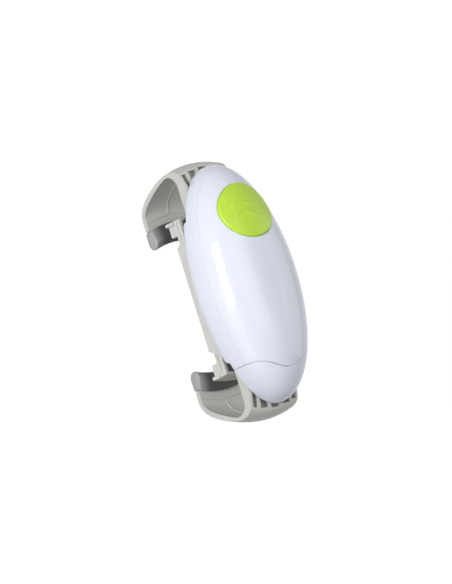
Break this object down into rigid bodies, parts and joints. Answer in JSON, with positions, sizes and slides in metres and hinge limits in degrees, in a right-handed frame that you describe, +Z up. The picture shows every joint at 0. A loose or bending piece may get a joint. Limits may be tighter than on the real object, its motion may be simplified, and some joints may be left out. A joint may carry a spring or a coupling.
{
  "type": "electric jar opener",
  "caption": "Battery jar opener: oval white housing with a round green button over sliding hooked jar arms and a turning carrier with sliding lid jaws.",
  "frame": {"origin": "below the middle of the tool, on the surface that the jar pads' soles stand on", "axes": "+X along the housing towards the battery door, +Y across it, +Z up through the housing"},
  "size_m": [0.1906, 0.077, 0.1018],
  "materials": {
    "housing_white": "high gloss moulded",
    "button_green": "gloss moulded",
    "arm_grey": "fine satin moulded",
    "carrier_grey": "fine satin moulded",
    "pad_rubber": "soft matt",
    "lid_rubber": "soft matt",
    "chassis_plastic": "plain moulded",
    "gear_plastic": "natural acetal",
    "steel": "turned",
    "motor_can": "plated can",
    "brass": "plain",
    "board_green": "lacquered",
    "switch_black": "plain",
    "cell_jacket": "plain jacket"
  },
  "bodies": {
    "housing": {"top_cover": "housing_white", "lower_housing": "housing_white", "chassis": "chassis_plastic", "base_plate": "carrier_grey", "cover_screws": "steel", "base_screws": "steel", "spindle_bush": "brass", "motor": "motor_can", "gear_axles": "steel", "gear_deck": "chassis_plastic", "gear_bridge": "chassis_plastic", "button_bridge": "chassis_plastic", "circuit_board": "board_green", "switch_body": "switch_black", "button_spring": "steel", "cell_left": "cell_jacket", "cell_right": "cell_jacket", "tray_contacts": "brass"},
    "battery_door": {"battery_door": "housing_white", "door_contact": "brass"},
    "button": {"button": "button_green", "switch_plunger": "switch_black"},
    "jar_arm_door_end": {"jar_arm_door_end": "arm_grey", "jar_pad_door_end": "pad_rubber"},
    "jar_arm_button_end": {"jar_arm_button_end": "arm_grey", "jar_pad_button_end": "pad_rubber"},
    "jar_pinion": {"jar_pinion": "gear_plastic"},
    "lid_carrier": {"lid_carrier": "carrier_grey", "carrier_base": "carrier_grey", "spindle": "steel", "spindle_screw": "steel", "output_gear": "gear_plastic", "thrust_washer": "steel"},
    "lid_jaw_door_end": {"lid_jaw_door_end": "carrier_grey", "lid_pad_door_end": "lid_rubber"},
    "lid_jaw_button_end": {"lid_jaw_button_end": "carrier_grey", "lid_pad_button_end": "lid_rubber"},
    "lid_pinion": {"lid_pinion": "gear_plastic"},
    "motor_pinion": {"motor_pinion": "brass"},
    "first_gear": {"first_gear": "gear_plastic"},
    "second_gear": {"second_gear": "gear_plastic"}
  },
  "joints": [
    {"name": "jar_close", "type": "slide", "parent": "housing", "child": "jar_arm_door_end", "axis": [-1, 0, 0], "range_m": [0, 0.026]},
    {"name": "jar_close_far", "type": "slide", "parent": "housing", "child": "jar_arm_button_end", "axis": [1, 0, 0], "range_m": [0, 0.026]},
    {"name": "jar_pinion_turn", "type": "hinge", "parent": "housing", "child": "jar_pinion", "pos_m": [0, 0, 0.058], "axis": [0, 0, 1], "range_deg": [0, 187]},
    {"name": "carrier_turn", "type": "hinge", "parent": "housing", "child": "lid_carrier", "pos_m": [0, 0, 0.06], "axis": [0, 0, 1], "continuous": true},
    {"name": "second_gear_turn", "type": "hinge", "parent": "housing", "child": "second_gear", "pos_m": [-0.00199, 0.0199, 0.072], "axis": [0, 0, 1], "continuous": true},
    {"name": "first_gear_turn", "type": "hinge", "parent": "housing", "child": "first_gear", "pos_m": [-0.01272, 0.00697, 0.084], "axis": [0, 0, 1], "continuous": true},
    {"name": "motor_turn", "type": "hinge", "parent": "housing", "child": "motor_pinion", "pos_m": [-0.028, 0, 0.089], "axis": [0, 0, 1], "continuous": true},
    {"name": "lid_close", "type": "slide", "parent": "lid_carrier", "child": "lid_jaw_door_end", "axis": [-1, 0, 0], "range_m": [0, 0.032]},
    {"name": "lid_close_far", "type": "slide", "parent": "lid_carrier", "child": "lid_jaw_button_end", "axis": [1, 0, 0], "range_m": [0, 0.032]},
    {"name": "lid_pinion_turn", "type": "hinge", "parent": "lid_carrier", "child": "lid_pinion", "pos_m": [0, 0, 0.046], "axis": [0, 0, 1], "range_deg": [0, 230]},
    {"name": "button_press", "type": "slide", "parent": "housing", "child": "button", "axis": [0.2656, 0, -0.9641], "range_m": [0, 0.002], "stiffness_N_per_m": 500, "springref_m": -0.001, "deforming": ["button_spring"]},
    {"name": "door_slide", "type": "slide", "parent": "housing", "child": "battery_door", "axis": [1, 0, 0], "range_m": [0, 0.03]}
  ],
  "couplings": [
    {"joint": "jar_close_far", "follows": "jar_close", "ratio": 1},
    {"joint": "jar_pinion_turn", "follows": "jar_close", "rad_per_m": 125},
    {"joint": "second_gear_turn", "follows": "carrier_turn", "ratio": -4},
    {"joint": "first_gear_turn", "follows": "carrier_turn", "ratio": 12.8},
    {"joint": "motor_turn", "follows": "carrier_turn", "ratio": -40.96},
    {"joint": "lid_close_far", "follows": "lid_close", "ratio": 1},
    {"joint": "lid_pinion_turn", "follows": "lid_close", "rad_per_m": 125}
  ]
}
